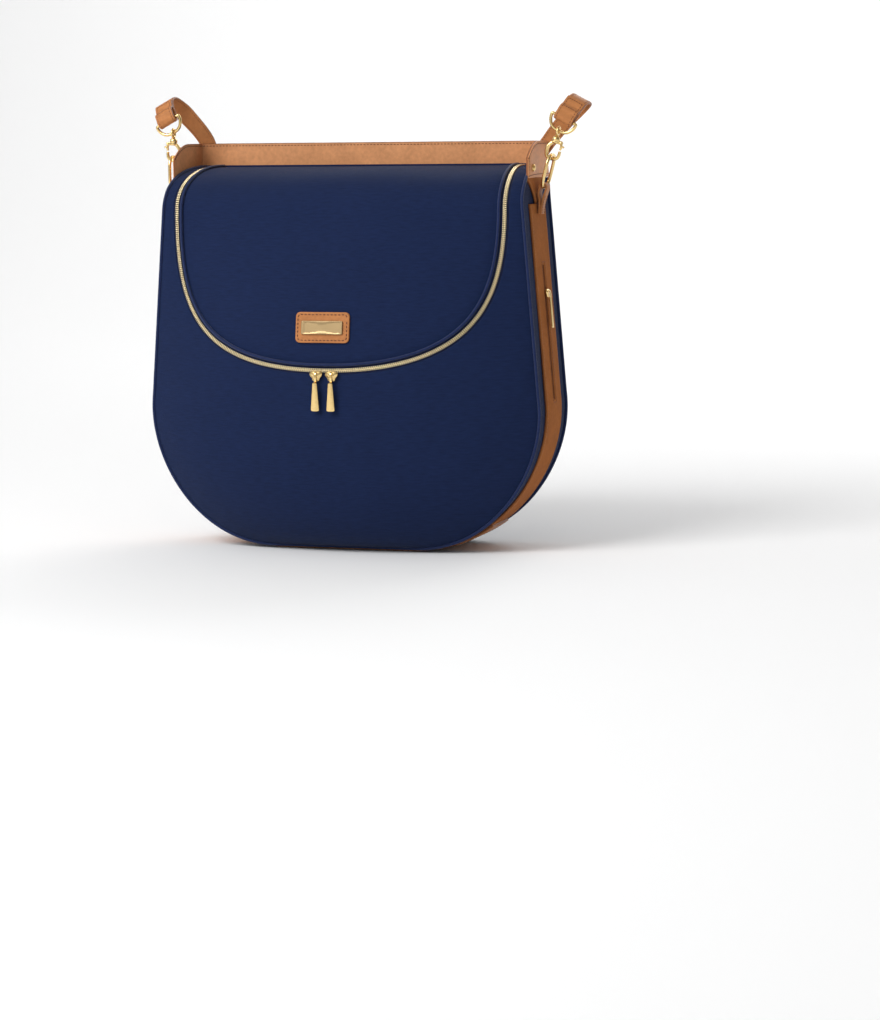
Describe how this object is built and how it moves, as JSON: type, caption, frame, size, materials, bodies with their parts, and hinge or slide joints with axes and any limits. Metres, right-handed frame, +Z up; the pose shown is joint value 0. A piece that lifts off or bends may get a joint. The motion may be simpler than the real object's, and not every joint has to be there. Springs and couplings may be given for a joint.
{
  "type": "diaper bag",
  "caption": "Soft saddle-shaped diaper bag with a U-zip lid, leather trim, side pockets, oval rings and stroller straps with swivel hooks.",
  "frame": {"origin": "middle of the base, on the surface that the bag stands on", "axes": "+X to the bag's right seen from the front, the front faces -Y, +Z up"},
  "size_m": [0.4578, 0.1736, 0.4549],
  "materials": {
    "navy_fabric": "matt woven",
    "tan_leather": "satin smooth grain",
    "gold_metal": "polished",
    "zip_teeth": "satin",
    "lining_cloth": "matt woven",
    "base_board": "matt"
  },
  "bodies": {
    "bag": {"front_panel": "navy_fabric", "back_panel": "navy_fabric", "gusset": "navy_fabric", "front_piping": "navy_fabric", "back_piping": "navy_fabric", "base_panel": "tan_leather", "top_band": "tan_leather", "side_strip_left": "tan_leather", "yoke_left": "tan_leather", "ring_tab_left": "tan_leather", "stroller_strap_left": "tan_leather", "side_strip_right": "tan_leather", "yoke_right": "tan_leather", "ring_tab_right": "tan_leather", "stroller_strap_right": "tan_leather", "main_lining": "lining_cloth", "inner_pocket": "lining_cloth", "side_pocket_left": "lining_cloth", "side_pocket_right": "lining_cloth", "rivet_left": "gold_metal", "strap_stud_left": "gold_metal", "rivet_right": "gold_metal", "strap_stud_right": "gold_metal", "zip_teeth_body": "zip_teeth", "side_zip_teeth_left": "zip_teeth", "side_zip_teeth_right": "zip_teeth", "base_board": "base_board"},
    "lid": {"lid_panel": "navy_fabric", "lid_lining": "lining_cloth", "lid_piping": "navy_fabric", "zip_teeth_lid": "zip_teeth", "patch": "tan_leather", "nameplate": "gold_metal"},
    "slider_left": {"slider_left": "gold_metal"},
    "pull_left": {"pull_left": "gold_metal"},
    "side_slider_left": {"side_slider_left": "gold_metal"},
    "side_pull_left": {"side_pull_left": "gold_metal"},
    "oval_ring_left": {"oval_ring_left": "gold_metal"},
    "d_ring_left": {"d_ring_left": "gold_metal"},
    "swivel_eye_left": {"swivel_eye_left": "gold_metal"},
    "gate_left": {"gate_left": "gold_metal"},
    "hook_left": {"hook_left": "gold_metal", "gate_pin_left": "gold_metal"},
    "slider_right": {"slider_right": "gold_metal"},
    "pull_right": {"pull_right": "gold_metal"},
    "side_slider_right": {"side_slider_right": "gold_metal"},
    "side_pull_right": {"side_pull_right": "gold_metal"},
    "oval_ring_right": {"oval_ring_right": "gold_metal"},
    "d_ring_right": {"d_ring_right": "gold_metal"},
    "swivel_eye_right": {"swivel_eye_right": "gold_metal"},
    "gate_right": {"gate_right": "gold_metal"},
    "hook_right": {"hook_right": "gold_metal", "gate_pin_right": "gold_metal"}
  },
  "joints": [
    {"name": "lid_hinge", "type": "hinge", "parent": "bag", "child": "lid", "pos_m": [0, 0.045, 0.3823], "axis": [-1, 0, 0], "range_deg": [0, 90]},
    {"name": "slider_travel_left", "type": "hinge", "parent": "bag", "child": "slider_left", "pos_m": [0, 0.08698, 0.42926], "axis": [0, 0.7924, -0.61], "range_deg": [0, 11]},
    {"name": "pull_swing_left", "type": "hinge", "parent": "slider_left", "child": "pull_left", "pos_m": [-0.0081, -0.1084, 0.1722], "axis": [-1, 0, 0], "range_deg": [0, 100]},
    {"name": "side_zip_left", "type": "slide", "parent": "bag", "child": "side_slider_left", "axis": [-0.0797, 0, -0.9968], "range_m": [-0.02, 0.095]},
    {"name": "side_pull_swing_left", "type": "hinge", "parent": "side_slider_left", "child": "side_pull_left", "pos_m": [-0.20262, 0, 0.25026], "axis": [0, 1, 0], "range_deg": [0, 100]},
    {"name": "ring_swing_left", "type": "hinge", "parent": "bag", "child": "oval_ring_left", "pos_m": [-0.19678, 0, 0.361], "axis": [0, -1, 0], "range_deg": [-2.5, 2.5]},
    {"name": "d_ring_swing_left", "type": "hinge", "parent": "bag", "child": "d_ring_left", "pos_m": [-0.20288, 0, 0.42978], "axis": [0.8829, 0, 0.4695], "range_deg": [-3, 3]},
    {"name": "eye_swing_left", "type": "hinge", "parent": "d_ring_left", "child": "swivel_eye_left", "pos_m": [-0.19678, 0, 0.4183], "axis": [1, 0, 0], "range_deg": [-4, 4]},
    {"name": "hook_swivel_left", "type": "hinge", "parent": "swivel_eye_left", "child": "hook_left", "pos_m": [-0.19678, 0, 0.409], "axis": [0, 0, 1], "range_deg": [-10, 10]},
    {"name": "gate_left", "type": "hinge", "parent": "hook_left", "child": "gate_left", "pos_m": [-0.20278, 0, 0.4069], "axis": [0, -1, 0], "range_deg": [0, 20], "stiffness_Nm_per_rad": 0.001, "springref_deg": -11.46},
    {"name": "slider_travel_right", "type": "hinge", "parent": "bag", "child": "slider_right", "pos_m": [0, 0.08698, 0.42926], "axis": [0, -0.7924, 0.61], "range_deg": [0, 11]},
    {"name": "pull_swing_right", "type": "hinge", "parent": "slider_right", "child": "pull_right", "pos_m": [0.0081, -0.1084, 0.1722], "axis": [-1, 0, 0], "range_deg": [0, 100]},
    {"name": "side_zip_right", "type": "slide", "parent": "bag", "child": "side_slider_right", "axis": [0.0797, 0, -0.9968], "range_m": [-0.02, 0.095]},
    {"name": "side_pull_swing_right", "type": "hinge", "parent": "side_slider_right", "child": "side_pull_right", "pos_m": [0.20262, 0, 0.25026], "axis": [0, -1, 0], "range_deg": [0, 100]},
    {"name": "ring_swing_right", "type": "hinge", "parent": "bag", "child": "oval_ring_right", "pos_m": [0.19678, 0, 0.361], "axis": [0, 1, 0], "range_deg": [-2.5, 2.5]},
    {"name": "d_ring_swing_right", "type": "hinge", "parent": "bag", "child": "d_ring_right", "pos_m": [0.21771, 0, 0.42783], "axis": [0.8829, 0, -0.4695], "range_deg": [-3, 3]},
    {"name": "eye_swing_right", "type": "hinge", "parent": "d_ring_right", "child": "swivel_eye_right", "pos_m": [0.21161, 0, 0.41635], "axis": [0.9659, 0, -0.2588], "range_deg": [-4, 4]},
    {"name": "hook_swivel_right", "type": "hinge", "parent": "swivel_eye_right", "child": "hook_right", "pos_m": [0.2092, 0, 0.40736], "axis": [0.2588, 0, 0.9659], "range_deg": [-10, 10]},
    {"name": "gate_right", "type": "hinge", "parent": "hook_right", "child": "gate_right", "pos_m": [0.21446, 0, 0.40378], "axis": [0, 1, 0], "range_deg": [0, 20], "stiffness_Nm_per_rad": 0.001, "springref_deg": -11.46}
  ]
}
